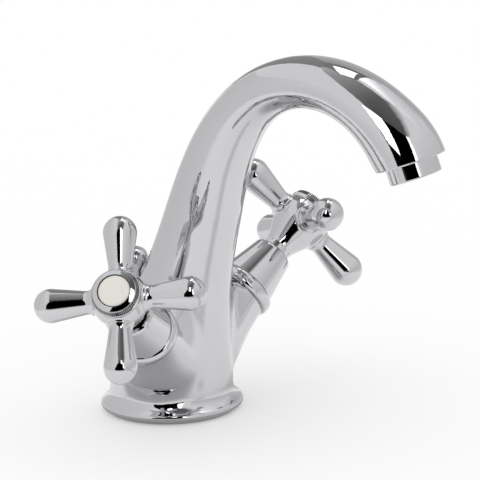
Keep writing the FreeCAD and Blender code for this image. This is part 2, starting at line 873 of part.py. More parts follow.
single_pieces = {
    "body_casting": body_casting,
    "base_gasket": base_gasket,
    "aerator_housing": aerator_housing,
    "aerator_insert": aerator_insert,
    "aerator_washer": aerator_washer,
    "lift_rod": lift_rod,
    "lift_knob": lift_knob,
    "lift_rod_bush": lift_rod_bush,
}

side_pieces = {
    "bonnet": bonnet,
    "cartridge_body": cartridge_body,
    "cartridge_washer": cartridge_washer,
    "cartridge_seal": cartridge_seal,
    "disc_fixed": disc_fixed,
    "disc_moving": disc_moving,
    "spindle": spindle,
    "spindle_oring": spindle_oring,
    "spindle_clip": spindle_clip,
    "cross_handle": cross_handle,
    "handle_screw": handle_screw,
    "cap_ring": cap_ring,
    "index_disc": index_disc,
}

os.makedirs("parts", exist_ok=True)
for node, make in single_pieces.items():
    make().exportStep("parts/" + node + ".step")
for side_name in sides:
    for node, make in side_pieces.items():
        make(side_name).exportStep("parts/" + side_name + "_" + node + ".step")
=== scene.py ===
# %% [markdown]
# A basin mixer in polished chrome.
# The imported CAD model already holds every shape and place, so this lesson loads it as a fixed frame
# and gives it its looks: a camera, a small light tent, a finish for every surface, and the fine
# pieces that are too small for the solids, such as the milled edge of the caps.

# %% Load the frame
import json
import math

import bpy
from mathutils import Matrix, Vector


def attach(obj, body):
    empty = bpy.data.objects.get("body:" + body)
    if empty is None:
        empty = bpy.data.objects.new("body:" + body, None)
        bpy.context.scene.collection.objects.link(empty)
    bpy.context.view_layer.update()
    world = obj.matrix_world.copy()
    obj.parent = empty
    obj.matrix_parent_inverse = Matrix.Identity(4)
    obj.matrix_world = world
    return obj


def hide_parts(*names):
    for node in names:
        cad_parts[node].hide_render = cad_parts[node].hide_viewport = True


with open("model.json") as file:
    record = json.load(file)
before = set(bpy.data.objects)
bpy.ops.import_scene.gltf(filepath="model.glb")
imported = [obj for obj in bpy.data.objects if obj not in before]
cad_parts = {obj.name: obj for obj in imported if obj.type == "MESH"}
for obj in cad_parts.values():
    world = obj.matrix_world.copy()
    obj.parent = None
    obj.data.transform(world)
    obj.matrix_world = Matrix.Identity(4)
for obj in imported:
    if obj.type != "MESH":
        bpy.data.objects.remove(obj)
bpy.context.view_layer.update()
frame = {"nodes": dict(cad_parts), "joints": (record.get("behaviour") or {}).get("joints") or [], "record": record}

mm = 0.001

# %% [markdown]
# The camera stands where the photographer stood: to the left of the spout, a little above the
# handles and far away through a long lens, so that upright lines stay nearly parallel. A target, a
# distance and three angles say that more plainly than a matrix of numbers would.

# %% Camera
view_azimuth = math.radians(-57.0)
view_elevation = math.radians(14.82)
view_roll = math.radians(-1.78)
view_target = Vector((0, -32.8, 68.7)) * mm
view_distance = 1.8
view_lens = 363.4

level_back = Vector((math.sin(view_azimuth), -math.cos(view_azimuth), 0))
level_right = Vector((math.cos(view_azimuth), math.sin(view_azimuth), 0))
view_back = level_back * math.cos(view_elevation) + Vector((0, 0, math.sin(view_elevation)))
view_up = view_back.cross(level_right)
camera_right = level_right * math.cos(view_roll) + view_up * math.sin(view_roll)
camera_up = view_up * math.cos(view_roll) - level_right * math.sin(view_roll)


def deselect_all():
    """Leaves nothing selected, because an operator acts on all that is selected."""
    bpy.ops.object.select_all(action="DESELECT")


deselect_all()
bpy.ops.object.camera_add(location=view_target + view_back * view_distance)
camera = bpy.context.object
camera.rotation_euler = Matrix((camera_right, camera_up, view_back)).transposed().to_euler()
camera.data.lens = view_lens
bpy.context.scene.camera = camera
bpy.context.scene.view_settings.view_transform = "Standard"
print("camera", [round(value, 3) for value in camera.location], "lens", camera.data.lens)

# %% [markdown]
# Materials and cards are node trees, and building one by hand takes many clicks. One helper makes a
# node, sets its options and links its inputs in one line, so that a tree reads from top to bottom in
# the order in which a signal runs through it. Another starts an empty material.

# %% Node helpers
def add_node(tree, kind, inputs=None, **settings):
    """Adds a node, sets its options, and sets or links each named input."""
    node = tree.nodes.new(kind)
    for key, value in settings.items():
        setattr(node, key, value)
    for socket, value in (inputs or {}).items():
        if isinstance(value, bpy.types.NodeSocket):
            tree.links.new(value, node.inputs[socket])
        else:
            node.inputs[socket].default_value = value
    return node


def new_material(name):
    """An empty material with its tree and its output node."""
    material = bpy.data.materials.new(name)
    material.use_nodes = True
    material.node_tree.nodes.clear()
    return material, material.node_tree, material.node_tree.nodes.new("ShaderNodeOutputMaterial")


print("node helpers ready")

# %% [markdown]
# Chrome has no colour of its own: it looks like the room around it. So the studio is built next, as
# a light tent of pale cloth with the things that a photographer hangs in one. In front are a dark
# opening for the lens, the dark end of the table, a strip lamp close to the spout and a second one to
# the right. Cloths hang at both sides, and a dark roof fades to the right. At the back are a lamp in
# its frame, a window, a wall and a grey flag.
# Each corner of a card has the azimuth and elevation at which the spout end sees it, a distance in
# metres and a glow. An azimuth of zero points at the camera, and a glow of one is white.

# %% Cards of the tent
spout_tip = Vector((0, -107.6, 106.5)) * mm
card_corners = {
    "lens_opening": [(-44, -5, 1.39, 0.0), (22, -5, 1.39, 0.0),
                     (-22, 41, 1.43, 0.0), (20, 40, 1.39, 0.0)],
    "table_end": [(-48, -15, 0.414, 0.1), (10, -15, 0.414, 0.1),
                  (-44, -4.3, 1.38, 0.0), (22, -4.3, 1.38, 0.0)],
    "near_strip": [(-37, 9.6, 0.165, 2.6), (-23.7, 10.4, 0.163, 2.6),
                   (-34, 45.8, 0.231, 2.6), (-18.5, 44, 0.225, 2.6)],
    "right_strip": [(12.5, 3, 1.25, 2.0), (22, 3, 1.25, 2.0),
                    (14, 40, 1.25, 2.0), (20, 40, 1.25, 2.0)],
    "left_cloth": [(-45, -12, 0.5, 0.86), (-150, -12, 0.5, 0.68),
                   (-45, 24, 0.5, 0.93), (-150, 24, 0.5, 0.7)],
    "right_cloth": [(31, -3, 1.4, 0.66), (125, -3, 1.4, 0.66),
                    (31, 34, 1.4, 0.9), (125, 34, 1.4, 0.9)],
    "roof": [(-24, 41, 1.4, 0.1), (14, 40, 1.33, 0.1),
             (-165, 57, 1.15, 0.6), (100, 72, 1.1, 0.16)],
    "roof_fade": [(14, 40, 1.33, 0.1), (30, 42, 1.33, 0.75),
                  (100, 72, 1.1, 0.16), (100, 63, 1.1, 0.95)],
    "back_lamp": [(162, 49, 1.0, 2.4), (179, 49, 1.0, 2.4),
                  (161, 70, 1.0, 2.4), (187, 72, 1.0, 2.4)],
    "lamp_frame": [(156.5, 40, 1.05, 0.2), (186, 40, 1.05, 0.26),
                   (154, 72, 1.05, 0.2), (191, 74, 1.05, 0.26)],
    "back_window": [(158, 34, 1.3, 0.8), (80, 30, 1.3, 0.8),
                    (157, 64, 1.3, 2.2), (95, 64, 1.3, 1.1)],
    "back_wall": [(125, -4, 1.35, 0.7), (184, -4, 1.35, 0.62),
                  (125, 36, 1.35, 0.85), (184, 42, 1.35, 0.4)],
    "back_flag": [(-178, 4, 1.2, 0.34), (-157, 4, 1.2, 0.34),
                  (-178, 66, 1.2, 0.28), (-158, 66, 1.2, 0.28)],
}
print("planned", len(card_corners), "cards")

# %% [markdown]
# A card could be an area lamp, but lamps have one strength all over and can't fade. A plane that glows
# by an attribute of its corners can, and it is left to mirror rays alone, so it draws the reflections
# without lighting the floor or showing itself.

# %% Hang the cards
def glow_material(name, strength):
    """A material that only glows, at a plain strength or at its mesh's own glow attribute."""
    material, tree, output = new_material(name)
    if strength is None:
        strength = add_node(tree, "ShaderNodeAttribute", attribute_name="glow").outputs["Fac"]
    light = add_node(tree, "ShaderNodeEmission", {"Strength": strength})
    tree.links.new(light.outputs[0], output.inputs["Surface"])
    return material


def hide_from_camera(piece):
    """Leaves a studio piece to reflections alone."""
    piece.visible_camera = False
    piece.visible_diffuse = False
    piece.visible_shadow = False


def hang_card(name, corners, material):
    """Hangs one four-cornered card and gives each corner its glow."""
    deselect_all()
    bpy.ops.mesh.primitive_plane_add(size=1)
    card = bpy.context.object
    card.name = name
    glow = card.data.attributes.new("glow", "FLOAT", "POINT")
    for index, (azimuth, elevation, distance, strength) in enumerate(corners):
        turn = math.radians(azimuth)
        rise = math.radians(elevation)
        level = level_back * math.cos(turn) + level_right * math.sin(turn)
        way = level * math.cos(rise) + Vector((0, 0, math.sin(rise)))
        card.data.vertices[index].co = spout_tip + way * distance
        glow.data[index].value = strength
    card.data.materials.append(material)
    hide_from_camera(card)


card_glow = glow_material("card_glow", None)
for name, corners in card_corners.items():
    hang_card(name, corners, card_glow)
print("hung", len(card_corners), "cards in the tent")

# %% [markdown]
# Behind the cards, the cloth of the tent is one large sphere that is pale all round. The world outside
# it gives the plain white light on the floor and on all that isn't a mirror. Lamps could do that too,
# but they would add hard shadows that the cloth of a real tent takes away.

# %% Cloth and white room
cloth_glow = 0.91
cloth_radius = 3.0

deselect_all()
bpy.ops.mesh.primitive_uv_sphere_add(radius=cloth_radius)
cloth = bpy.context.object
cloth.name = "tent_cloth"
cloth.data.materials.append(glow_material("tent_cloth", cloth_glow))
hide_from_camera(cloth)

world = bpy.data.worlds.new("white_room")
world.use_nodes = True
world.node_tree.nodes["Background"].inputs["Color"].default_value = (1, 1, 1, 1)
bpy.context.scene.world = world
print("cloth", cloth_radius, "metres from the middle of the tent")

# %% [markdown]
# A pattern in a material is a small sum at each point of a surface: where the point is, how far it
# lies from something, and a smooth step that turns this distance into a mask. Each of these sums is
# one node, so the helpers below name the ones that the floor and all the finishes use.

# %% Value helpers
def maths(tree, operation, first, second=0.0):
    """A Math node's result."""
    return add_node(tree, "ShaderNodeMath", {0: first, 1: second}, operation=operation).outputs[0]


def times(tree, first, second):
    """Two values or masks multiplied."""
    return maths(tree, "MULTIPLY", first, second)


def ramp(tree, value, start, end, low=0.0, high=1.0):
    """A smooth step of a value, from low at start to high at end."""
    inputs = {"Value": value, "From Min": start, "From Max": end, "To Min": low, "To Max": high}
    return add_node(tree, "ShaderNodeMapRange", inputs, interpolation_type="SMOOTHSTEP").outputs[0]


def blended(tree, mask, first, second):
    """A value that goes from first to second as the mask rises."""
    return add_node(tree, "ShaderNodeMix", {0: mask, 2: first, 3: second}).outputs[0]


def object_place(tree):
    """Object coordinates, in metres in the shared frame."""
    return add_node(tree, "ShaderNodeTexCoord").outputs["Object"]


def length_of(tree, vector):
    """How long a vector is."""
    return add_node(tree, "ShaderNodeVectorMath", {0: vector}, operation="LENGTH").outputs["Value"]


print("value helpers ready")

# %% [markdown]
# The floor has to look white and still keep the soft shadow under the base. Most of what the camera
# sees is paint that takes the shadow, and the rest is a glow that only camera and mirror rays see, so
# that the floor adds no light of its own to the object. In the chrome, the floor shows a pool of light
# that is painted into its colour for mirror rays alone: a painted shadow close under the base, bright
# around it and dim again further out. A soft darker line is painted out from the base under the spout,
# and the trunk shows it as one long soft line.

# %% Pool of light on the floor
# The painted pool of light: a painted shadow under the base, light around it, dimmer far out, and a painted darker
# line out under the spout.
pool_inner = (28 * mm, 52 * mm)
pool_stretch = (0.72, 1, 1)
pool_outer = (150 * mm, 300 * mm)
under_tone = 0.58
outer_tone = 0.77
dim_line_turn = math.radians(-102)
dim_line_spread = math.radians(13)
dim_line_depth = 0.26
dim_line_start = (52 * mm, 72 * mm)


def pool_tone(tree):
    """The painted tone that mirror rays see on the floor: the pool of light and shadow, less the darker line in
    it.
    """
    place = object_place(tree)
    under = add_node(tree, "ShaderNodeMapping", {"Vector": place, "Scale": pool_stretch}).outputs[0]
    reach = length_of(tree, under)
    # Painted shadow under the base and painted pool of light around it, for mirror rays only.
    pool = times(tree, ramp(tree, reach, *pool_inner, under_tone, 1.0),
                 ramp(tree, reach, *pool_outer, 1.0, outer_tone))
    part = add_node(tree, "ShaderNodeSeparateXYZ", {"Vector": place}).outputs
    # A painted darker line runs out from the base under the spout.
    turn = maths(tree, "SUBTRACT", maths(tree, "ARCTAN2", part["Y"], part["X"]), dim_line_turn)
    dim_line = ramp(tree, maths(tree, "ABSOLUTE", turn), 0.0, dim_line_spread, dim_line_depth, 0.0)
    dim_line = times(tree, dim_line, ramp(tree, reach, *dim_line_start))
    return times(tree, pool, maths(tree, "SUBTRACT", 1.0, dim_line))


print("pool from", pool_inner[0] / mm, "to", pool_outer[1] / mm, "mm")

# %% Floor
floor_size = 12.0
floor_drop = 0.2 * mm
floor_paint = 0.7

deselect_all()
bpy.ops.mesh.primitive_plane_add(size=floor_size, location=(0, 0, -floor_drop))
floor = bpy.context.object
floor.name = "floor"
material, tree, output = new_material("white_floor")
path = add_node(tree, "ShaderNodeLightPath").outputs
# Mirror rays see the painted pool of light and shadow; all other rays see plain white paint.
tone = blended(tree, path["Is Glossy Ray"], 1.0, pool_tone(tree))
paint = add_node(tree, "ShaderNodeBsdfDiffuse", {"Color": times(tree, tone, floor_paint)})
shown = maths(tree, "MAXIMUM", path["Is Camera Ray"], path["Is Glossy Ray"])
shown = maths(tree, "MAXIMUM", shown, path["Is Transmission Ray"])
strength = times(tree, times(tree, shown, tone), 1 - floor_paint)
glow = add_node(tree, "ShaderNodeEmission", {"Strength": strength})
both = add_node(tree, "ShaderNodeAddShader", {0: paint.outputs[0], 1: glow.outputs[0]})
tree.links.new(both.outputs[0], output.inputs["Surface"])
floor.data.materials.append(material)
print("floor", floor_size, "metres across")

# %% [markdown]
# Chrome plate is a mirror with the marks of its polishing. Seen close it has hairlines from the
# buffing wheel, soft patches that are a little duller, and a few dried drops of water. Several
# finishes use these marks, so they are made once, as a node group that gives a roughness, a tone and
# a height. A dried drop is a thin ring, cut out of a Voronoi cell by two smooth steps.

# %% Noise helper
def noise(tree, place, scale, detail=2.0, stretch=(1, 1, 1)):
    """A noise value, with its grain drawn out where stretch is under one."""
    drawn = add_node(tree, "ShaderNodeMapping", {"Vector": place, "Scale": stretch}).outputs[0]
    inputs = {"Vector": drawn, "Scale": scale, "Detail": detail}
    return add_node(tree, "ShaderNodeTexNoise", inputs).outputs[0]


print("noise helper ready")

# %% Marks of the buffing wheel
patch_scale = 160.0
tone_scale = 60.0
hairline_scale = 2600.0
hairline_stretch = (1, 1, 0.08)
drop_scale = 95.0
drop_inside = (0.06, 0.12)
drop_outside = (0.13, 0.16)
drop_pick = (0.8, 0.82)


def buffed_marks():
    """Group that turns a place into a polished roughness, a tone and a tiny height."""
    tree = bpy.data.node_groups.new("buffed_marks", "ShaderNodeTree")
    sockets = tree.interface
    sockets.new_socket("Place", in_out="INPUT", socket_type="NodeSocketVector")
    for label in ("Polish", "Haze", "Drops"):
        sockets.new_socket(label, in_out="INPUT", socket_type="NodeSocketFloat")
    for label in ("Roughness", "Tone", "Height"):
        sockets.new_socket(label, in_out="OUTPUT", socket_type="NodeSocketFloat")
    given = tree.nodes.new("NodeGroupInput").outputs
    place = given["Place"]
    haze = times(tree, noise(tree, place, patch_scale, 4.0), given["Haze"])
    drops = add_node(tree, "ShaderNodeTexVoronoi", {"Vector": place, "Scale": drop_scale}).outputs
    ring = times(tree, ramp(tree, drops["Distance"], *drop_inside),
                 ramp(tree, drops["Distance"], *drop_outside, 1.0, 0.0))
    pick = add_node(tree, "ShaderNodeSeparateColor", {"Color": drops["Color"]}).outputs[0]
    spots = times(tree, times(tree, ring, ramp(tree, pick, *drop_pick)), given["Drops"])
    polish = maths(tree, "ADD", given["Polish"], haze)
    result = tree.nodes.new("NodeGroupOutput").inputs
    tree.links.new(maths(tree, "ADD", polish, spots), result["Roughness"])
    tree.links.new(noise(tree, place, tone_scale, 3.0), result["Tone"])
    tree.links.new(noise(tree, place, hairline_scale, 2.0, hairline_stretch), result["Height"])
    return tree


marks_group = buffed_marks()
print("made group", marks_group.name)

# %% [markdown]
# Every plated piece shares one chrome. A mirror of one flat grey would nearly do, but plate is never
# quite even, so its tone, roughness and height come from the marks group, while the mirror itself
# stays in one Principled shader that any renderer knows.

# %% Colour and shader helpers
def mixed(tree, mask, first, second):
    """A colour that goes from first to second as the mask rises."""
    return add_node(tree, "ShaderNodeMix", {0: mask, 6: first, 7: second}, data_type="RGBA").outputs[2]


def bump(tree, height, depth):
    """A normal for a height that swings over this depth in metres."""
    return add_node(tree, "ShaderNodeBump", {"Height": height, "Distance": depth}).outputs[0]


def principled(tree, output, inputs):
    """A Principled shader on the material's output."""
    shader = add_node(tree, "ShaderNodeBsdfPrincipled", inputs)
    tree.links.new(shader.outputs[0], output.inputs["Surface"])


print("colour and shader helpers ready")

# %% Polished chrome
chrome_bright = (0.64, 0.642, 0.655, 1)
chrome_deep = (0.615, 0.618, 0.633, 1)
hairline_depth = 0.3e-6
plate_marks = {"Polish": 0.02, "Haze": 0.03, "Drops": 0.06}


def buffed(tree, place, amounts):
    """The buffing marks at this place, with their own amounts, and the tone of the plate."""
    inputs = {"Place": place, **amounts}
    marks = add_node(tree, "ShaderNodeGroup", inputs, node_tree=marks_group).outputs
    return marks, mixed(tree, marks["Tone"], chrome_bright, chrome_deep)


def polished_chrome(name):
    """Mirror chrome for the pieces that are plated all over."""
    material, tree, output = new_material(name)
    marks, plate = buffed(tree, object_place(tree), plate_marks)
    normal = bump(tree, marks["Height"], hairline_depth)
    inputs = {"Base Color": plate, "Metallic": 1.0, "Roughness": marks["Roughness"], "Normal": normal}
    principled(tree, output, inputs)
    return material


def dress(node, material):
    """Gives a CAD node this material and no other."""
    slots = frame["nodes"][node].data.materials
    slots.clear()
    slots.append(material)


handle_chrome = polished_chrome("polished_chrome")
chrome_nodes = ["aerator_housing", "lift_rod", "lift_knob"]
for side in ("left", "right"):
    chrome_nodes += [side + "_bonnet", side + "_cross_handle", side + "_cap_ring"]
for node in chrome_nodes:
    dress(node, handle_chrome)
print("chrome on", len(chrome_nodes), "nodes")

# %% [markdown]
# The body casting is plated where it shows. Its underside and the holes that are cut from below are
# machined afterwards and show bare brass: turning rings on the seat face, and threads in the holes
# for the hoses and the fixing stud. The record gives each hole's place, radius and depth, so masks
# from Object coordinates can put the brass in exactly those places on the CAD mesh.

# %% Mask helpers
def above(tree, value, limit):
    """One where a value is over a limit."""
    return maths(tree, "GREATER_THAN", value, limit)


def below(tree, value, limit):
    """One where a value is under a limit."""
    return maths(tree, "LESS_THAN", value, limit)


def about_axis(tree, place):
    """The X, Y and Z of a place, and its distance from the Z axis."""
    part = add_node(tree, "ShaderNodeSeparateXYZ", {"Vector": place}).outputs
    flat = add_node(tree, "ShaderNodeCombineXYZ", {"X": part["X"], "Y": part["Y"]}).outputs[0]
    return part, length_of(tree, flat)


print("mask helpers ready")

# %% What is cut from below
thread_pitch = 1.0 * mm
seat_height = 0.04 * mm
skin = 0.15 * mm
rod_way = [0.0, 15.0 * mm, 4.0 * mm, 20.0 * mm]
groove_inner = 21.2 * mm
groove_outer = 23.2 * mm
groove_depth = 1.82 * mm

holes = [rod_way]
for mount in frame["record"]["mounts"]:
    if mount["kind"] == "threaded_hole" and mount["name"] != "lift_rod_end":
        across, along = mount["pos_m"][:2]
        holes.append([across, along, mount["dims"]["r_mm"] * mm, mount["dims"]["length_mm"] * mm])


def cut_from_below(tree, place):
    """The distance from the body's axis, a mask of the bare brass and a wave for the threads."""
    part, reach = about_axis(tree, place)
    groove = times(tree, below(tree, reach, groove_outer), below(tree, part["Z"], groove_depth))
    groove = times(tree, groove, above(tree, reach, groove_inner))
    bare = maths(tree, "MAXIMUM", below(tree, part["Z"], seat_height), groove)
    thread = 0.0
    for across, along, radius, depth in holes:
        inputs = {0: place, 1: (across, along, 0)}
        offset = add_node(tree, "ShaderNodeVectorMath", inputs, operation="SUBTRACT").outputs[0]
        aside, away = about_axis(tree, offset)
        inside = times(tree, below(tree, away, radius + skin), below(tree, part["Z"], depth + skin))
        bare = maths(tree, "MAXIMUM", bare, inside)
        turns = maths(tree, "DIVIDE", maths(tree, "ARCTAN2", aside["Y"], aside["X"]), 2 * math.pi)
        climb = maths(tree, "ADD", maths(tree, "DIVIDE", part["Z"], thread_pitch), turns)
        wave = times(tree, maths(tree, "PINGPONG", climb, 0.5), inside)
        thread = maths(tree, "ADD", thread, wave)
    return reach, bare, thread


print("brass in", len(holes), "holes")

# %% [markdown]
# One material can then show both metals. The masks choose between plate and brass in colour and
# roughness, and the three heights, of hairlines, turning rings and threads, are added in metres before
# one Bump node turns their sum into a normal.

# %% Plated casting
brass_bright = (0.60, 0.41, 0.17, 1)
brass_deep = (0.47, 0.31, 0.12, 1)
grain_span = (0.3, 0.7)
seat_rough = (0.22, 0.4)
seat_ring_scale = 5200.0
seat_ring_depth = 12.0e-6
thread_depth = 0.25 * mm


def plated_casting():
    """Chrome outside, turned and threaded brass in what is cut from below."""
    material, tree, output = new_material("plated_casting")
    place = object_place(tree)
    reach, bare, thread = cut_from_below(tree, place)
    lathe = add_node(tree, "ShaderNodeCombineXYZ", {"X": reach}).outputs[0]
    turned = noise(tree, lathe, seat_ring_scale, 3.0)
    marks, plate = buffed(tree, place, plate_marks)
    brass = mixed(tree, turned, brass_bright, brass_deep)
    dull = ramp(tree, turned, *grain_span, *seat_rough)
    fine = times(tree, marks["Height"], hairline_depth)
    rings = times(tree, times(tree, turned, bare), seat_ring_depth)
    cut = times(tree, thread, thread_depth)
    height = maths(tree, "ADD", maths(tree, "ADD", fine, rings), cut)
    inputs = {"Base Color": mixed(tree, bare, plate, brass), "Metallic": 1.0}
    inputs["Roughness"] = blended(tree, bare, marks["Roughness"], dull)
    inputs["Normal"] = bump(tree, height, 1.0)
    principled(tree, output, inputs)
    return material


dress("body_casting", plated_casting())
print("casting plated, with brass in", len(holes), "holes")

# %% [markdown]
# Inside the valves are turned brass, steel and lapped ceramic. A lathe leaves fine rings about the
# axis that a piece was turned on, so these finishes turn Object coordinates onto the handle's own
# axis first. The joints in the frame say where that axis is.

# %% Handle axes
handle_axes = {}
for joint in frame["joints"]:
    if joint["name"].endswith("handle_turn"):
        out = Vector(joint["axis"]).normalized()
        across = out.cross(Vector((0, 0, 1))).normalized()
        rise = across.cross(out)
        place = Matrix((rise, across, out)).transposed().to_4x4()
        place.translation = Vector(joint["pos_m"])
        handle_axes[joint["child"].split("_")[0]] = place


def axis_span(node, place):
    """The lowest and highest place of a CAD node along an axis."""
    back = place.inverted()
    heights = [(back @ vertex.co).z for vertex in frame["nodes"][node].data.vertices]
    return min(heights), max(heights)


def axis_coordinates(tree, place):
    """Object coordinates turned so that Z runs along an axis."""
    back = place.inverted()
    inputs = {"Vector": object_place(tree), "Location": back.translation, "Rotation": back.to_euler()}
    return add_node(tree, "ShaderNodeMapping", inputs).outputs[0]


for side, place in handle_axes.items():
    low, high = axis_span(side + "_cap_ring", place)
    print(side, "cap from", round(low / mm, 2), "to", round(high / mm, 2), "mm along its axis")

# %% [markdown]
# The headworks and spindles are brass, and the clips and screws are steel. A picture of a lathe finish
# could be wrapped around them, but a noise that is read by the distance from the axis and the height
# along it gives rings that follow any turned shape without a map.

# %% Turned metals
steel_bright = (0.62, 0.61, 0.60, 1)
steel_deep = (0.42, 0.42, 0.42, 1)
brass_rough = (0.18, 0.34)
steel_rough = (0.2, 0.36)
brass_ring_depth = 8e-6
steel_ring_depth = 6e-6
ring_scale = 4200.0
stain_scale = 240.0


def turned_metal(name, place, bright, deep, rough, ring_depth):
    """Metal from a lathe: fine rings about its axis in tone, roughness and height."""
    material, tree, output = new_material(name)
    spot = axis_coordinates(tree, place)
    part, reach = about_axis(tree, spot)
    lathe = add_node(tree, "ShaderNodeCombineXYZ", {"X": reach, "Z": part["Z"]}).outputs[0]
    rings = noise(tree, lathe, ring_scale, 3.0)
    stain = noise(tree, spot, stain_scale, 4.0)
    inputs = {"Base Color": mixed(tree, times(tree, rings, stain), bright, deep), "Metallic": 1.0}
    inputs["Roughness"] = ramp(tree, rings, *grain_span, *rough)
    inputs["Normal"] = bump(tree, rings, ring_depth)
    principled(tree, output, inputs)
    return material


for side, place in handle_axes.items():
    brass = turned_metal(side + "_headwork_brass", place, brass_bright, brass_deep, brass_rough,
                         brass_ring_depth)
    steel = turned_metal(side + "_turned_steel", place, steel_bright, steel_deep, steel_rough,
                         steel_ring_depth)
    dress(side + "_cartridge_body", brass)
    dress(side + "_spindle", brass)
    dress(side + "_spindle_clip", steel)
    dress(side + "_handle_screw", steel)
print("brass and steel on both headworks")

# %% [markdown]
# The seals are black rubber, the valve discs are lapped ceramic, and the aerator insert and the bush
# of the lift rod are moulded plastic. One function makes all of them, because they differ only in
# colour, grain and sheen: a slow noise mottles the colour, and a fine one roughens the surface.

# %% Ceramic, rubber and plastic
mottle_share = 0.08
pit_span = (0.25, 0.75)
soft_finishes = {
    "seal_rubber": {"bright": (0.022, 0.022, 0.023, 1), "deep": (0.04, 0.04, 0.042, 1),
                    "grain": 3000.0, "rough": (0.5, 0.72), "depth": 12e-6},
    "valve_ceramic": {"bright": (0.82, 0.81, 0.78, 1), "deep": (0.74, 0.73, 0.70, 1),
                      "grain": 5000.0, "rough": (0.12, 0.24), "depth": 1e-6},
    "insert_plastic": {"bright": (0.30, 0.31, 0.32, 1), "deep": (0.25, 0.26, 0.27, 1),
                       "grain": 1800.0, "rough": (0.38, 0.52), "depth": 6e-6},
    "bush_plastic": {"bright": (0.78, 0.78, 0.76, 1), "deep": (0.70, 0.70, 0.68, 1),
                     "grain": 1800.0, "rough": (0.35, 0.5), "depth": 5e-6},
}


def soft_finish(name, bright, deep, grain, rough, depth):
    """A finish with no metal in it: a mottled colour, an uneven sheen and a fine grain."""
    material, tree, output = new_material(name)
    place = object_place(tree)
    mottle = noise(tree, place, grain * mottle_share, 4.0)
    pits = noise(tree, place, grain, 3.0)
    inputs = {"Base Color": mixed(tree, ramp(tree, mottle, *grain_span), bright, deep)}
    inputs["Roughness"] = ramp(tree, pits, *pit_span, *rough)
    inputs["Normal"] = bump(tree, pits, depth)
    principled(tree, output, inputs)
    return material


print("planned", len(soft_finishes), "finishes without metal")

# %% Dress the seals, discs and plastics
soft_nodes = {
    "seal_rubber": ["base_gasket", "aerator_washer"],
    "valve_ceramic": [],
    "insert_plastic": ["aerator_insert"],
    "bush_plastic": ["lift_rod_bush"],
}
for side in handle_axes:
    soft_nodes["seal_rubber"] += [side + "_cartridge_washer", side + "_cartridge_seal"]
    soft_nodes["seal_rubber"].append(side + "_spindle_oring")
    soft_nodes["valve_ceramic"] += [side + "_disc_fixed", side + "_disc_moving"]

for name, values in soft_finishes.items():
    finish = soft_finish(name, **values)
    for node in soft_nodes[name]:
        dress(node, finish)
    print(name, "on", len(soft_nodes[name]), "nodes")

# %% [markdown]
# Each handle ends in a screw-in cap: a plain flange, a milled edge to grip, and above it a rounded
# bezel that holds a porcelain disc. The solid has its outline without the milling. The cap and the
# disc could be spun from a drawn line, but here they are turned as on a lathe: a circle is extruded
# and scaled once for each step of a profile, which keeps the points in even columns for the milling.

# %% Turning helper
merge_distance = 1e-6


def turned_shell(name, profile, sides):
    """A closed turned shell: a ring of points is extruded and scaled for each step of a profile."""
    deselect_all()
    radius, height = profile[0]
    bpy.ops.mesh.primitive_circle_add(vertices=sides, radius=radius, location=(0, 0, height))
    shell = bpy.context.object
    shell.name = name
    bpy.ops.object.mode_set(mode="EDIT")
    bpy.ops.mesh.select_all(action="SELECT")
    bpy.ops.mesh.extrude_edges_move(TRANSFORM_OT_translate={"value": (0, 0, 0)})
    bpy.ops.mesh.merge(type="CENTER")
    bpy.ops.mesh.select_all(action="DESELECT")
    bpy.ops.object.mode_set(mode="OBJECT")
    for vertex in shell.data.vertices:
        vertex.select = vertex.co.xy.length > radius / 2
    bpy.ops.object.mode_set(mode="EDIT")
    for next_radius, next_height in profile[1:]:
        rise = (0, 0, next_height - height)
        bpy.ops.mesh.extrude_edges_move(TRANSFORM_OT_translate={"value": rise})
        share = next_radius / radius
        bpy.ops.transform.resize(value=(share, share, 1), center_override=(0, 0, next_height))
        radius, height = next_radius, next_height
    bpy.ops.mesh.extrude_edges_move(TRANSFORM_OT_translate={"value": (0, 0, 0)})
    bpy.ops.mesh.merge(type="CENTER")
    bpy.ops.mesh.select_all(action="SELECT")
    bpy.ops.mesh.remove_doubles(threshold=merge_distance)
    bpy.ops.mesh.normals_make_consistent(inside=False)
    bpy.ops.object.mode_set(mode="OBJECT")
    bpy.ops.object.transform_apply()
    return shell


print("turning helper ready")

# %% [markdown]
# The profile of the cap reads like a turner's drawing, as radius and height in millimetres from the
# top of the hub: up inside the skirt that screws into the hub, out under the flange, up the steep
# chamfer that carries the milling, over the bezel in small steps, and down to the seat of the disc.

# %% Profile of the cap
skirt_inner = 4.6
skirt_outer = 6.15
skirt_depth = 2.9
floor_low = 1.9
floor_high = 3.1
seat_radius = 9.3
seat_gap = 0.06
flange_radius = 9.5
flange_rise = 0.2
flange_high = 1.7
flange_corner = 0.06
edge_radius = 8.7
edge_flare = 0.5
edge_low = 1.8
edge_high = 3.34
bezel_radius = 8.42
bezel_corner = 0.04
bezel_wall = 0.12
bezel_shoulder = 3.58
bezel_turn = 3.68
bezel_rim = 8.3
bezel_lip = 6.52
bezel_inner = 6.48
bezel_top = 4.3
bezel_steps = 8
bezel_slope = math.tan(math.radians(15))
bezel_crown = 0.025

